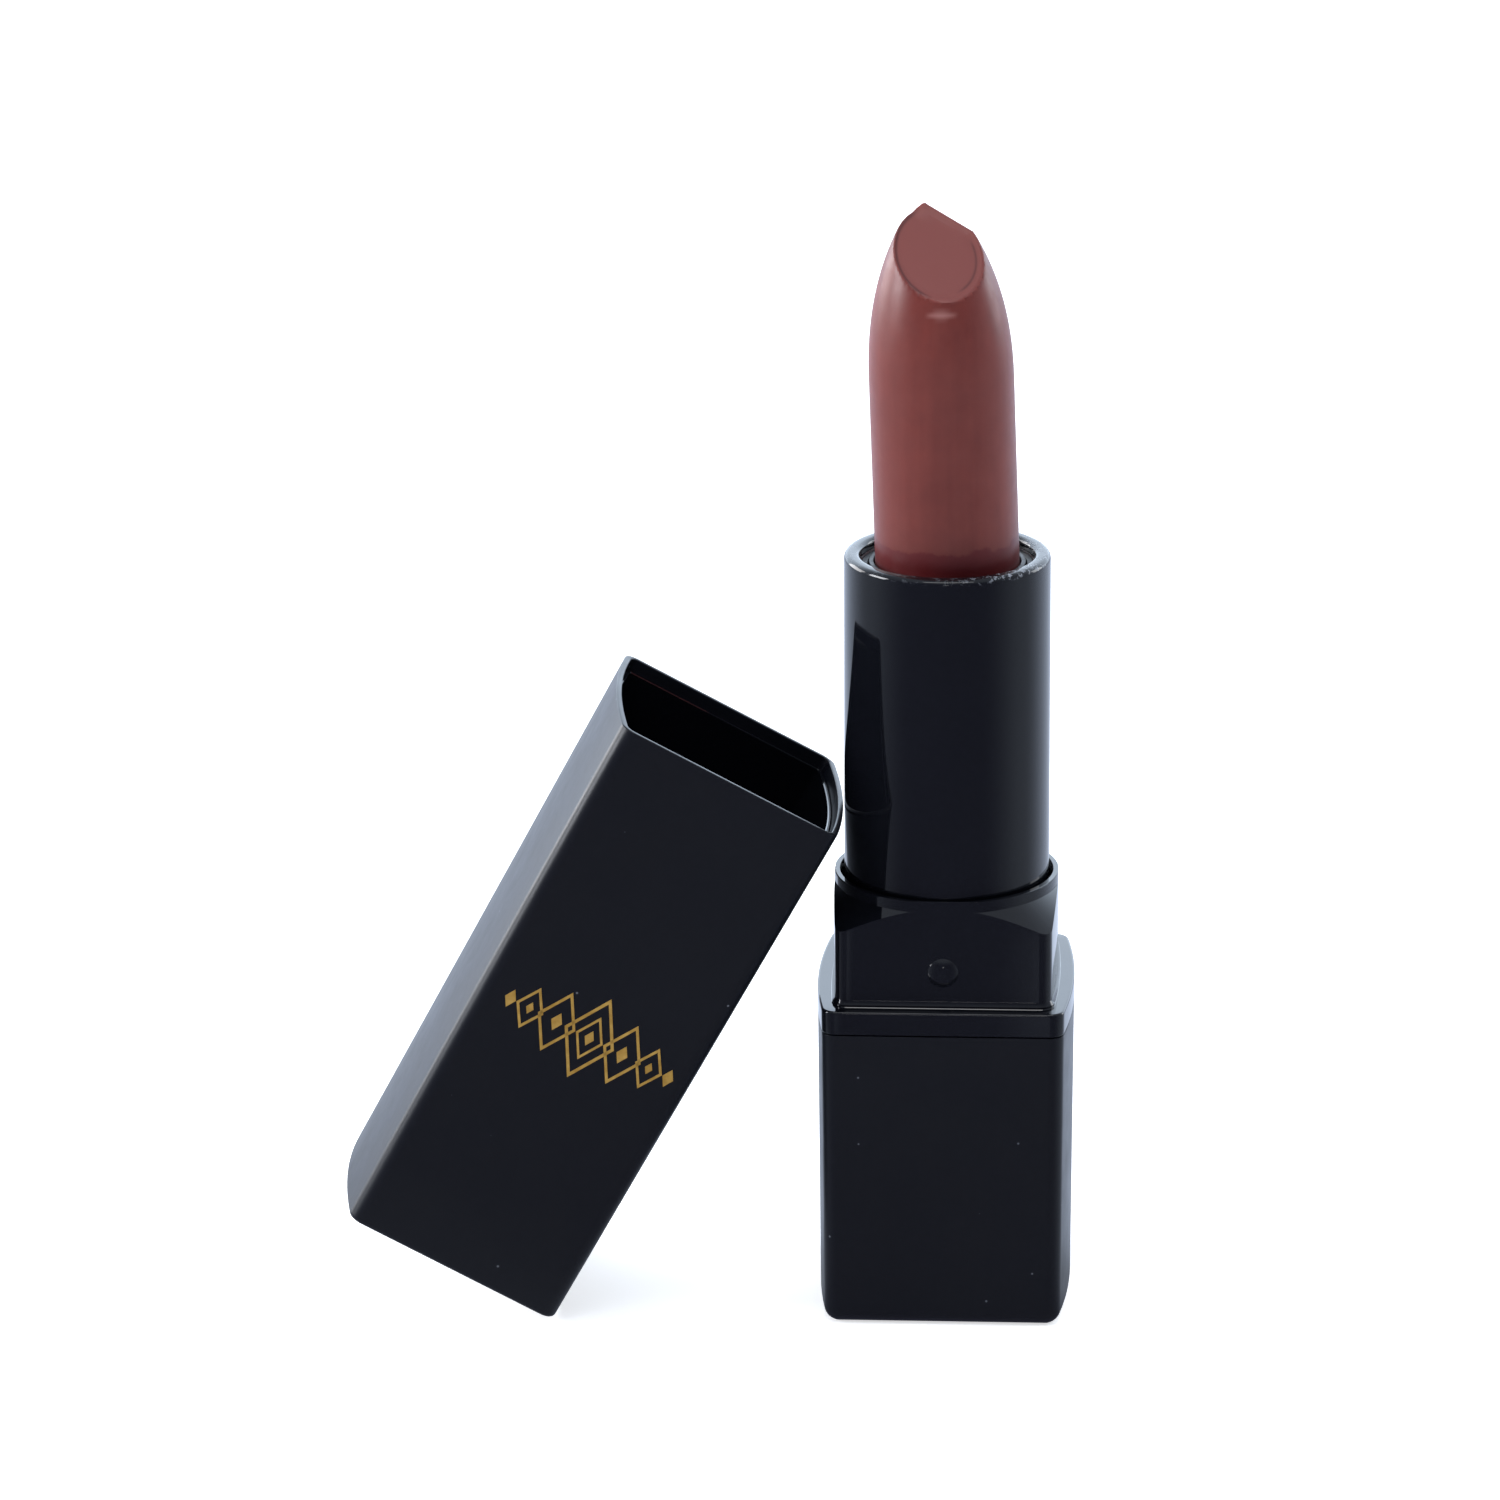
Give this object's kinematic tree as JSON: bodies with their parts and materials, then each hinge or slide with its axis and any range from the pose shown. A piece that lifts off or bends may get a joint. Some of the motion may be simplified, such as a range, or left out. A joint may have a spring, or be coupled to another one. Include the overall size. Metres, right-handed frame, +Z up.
{
  "type": "lipstick case",
  "caption": "Square twist-up lipstick case standing open, bullet raised from a round inner tube, with its loose square cap leaning on the tube.",
  "frame": {"origin": "middle of the base's underside, on the case's axis", "axes": "+Z up along the case's axis, -Y to the front that carries the slanted face of the bullet, +X to the right as seen from the front; the cap leans at -X"},
  "size_m": [0.0611, 0.0223, 0.0928],
  "materials": {
    "satin_black": "satin moulded black plastic",
    "gloss_black": "polished moulded black plastic",
    "inner_black": "plain moulded black plastic",
    "grey_acetal": "natural grey acetal",
    "white_felt": "pressed felt",
    "zinc_steel": "zinc-plated steel",
    "label_silver": "blank satin silver label",
    "rose_wax": "satin rose-brown moulded wax"
  },
  "bodies": {
    "base": {"base_shell": "satin_black", "base_label": "label_silver", "base_weight": "zinc_steel", "base_core": "inner_black", "shoulder_collar": "gloss_black", "guide_tube": "inner_black", "drag_washer": "white_felt"},
    "tube": {"tube_shell": "gloss_black", "spiral_sleeve": "grey_acetal"},
    "carrier": {"carrier_cup": "inner_black", "bullet": "rose_wax"},
    "cap": {"cap_shell": "satin_black", "cap_liner": "gloss_black"}
  },
  "joints": [
    {"name": "tube_twist", "type": "hinge", "parent": "base", "child": "tube", "pos_m": [0, 0, 0.0208], "axis": [0, 0, 1], "range_deg": [-540, 0]},
    {"name": "bullet_rise", "type": "slide", "parent": "base", "child": "carrier", "axis": [0, 0, 1], "range_m": [-0.0306, 0]},
    {"name": "cap_lift", "type": "slide", "parent": "base", "child": "cap", "axis": [0, 0, 1], "range_m": [0, 0.1]}
  ],
  "couplings": [
    {"joint": "bullet_rise", "follows": "tube_twist", "m_per_rad": 0.003246}
  ]
}
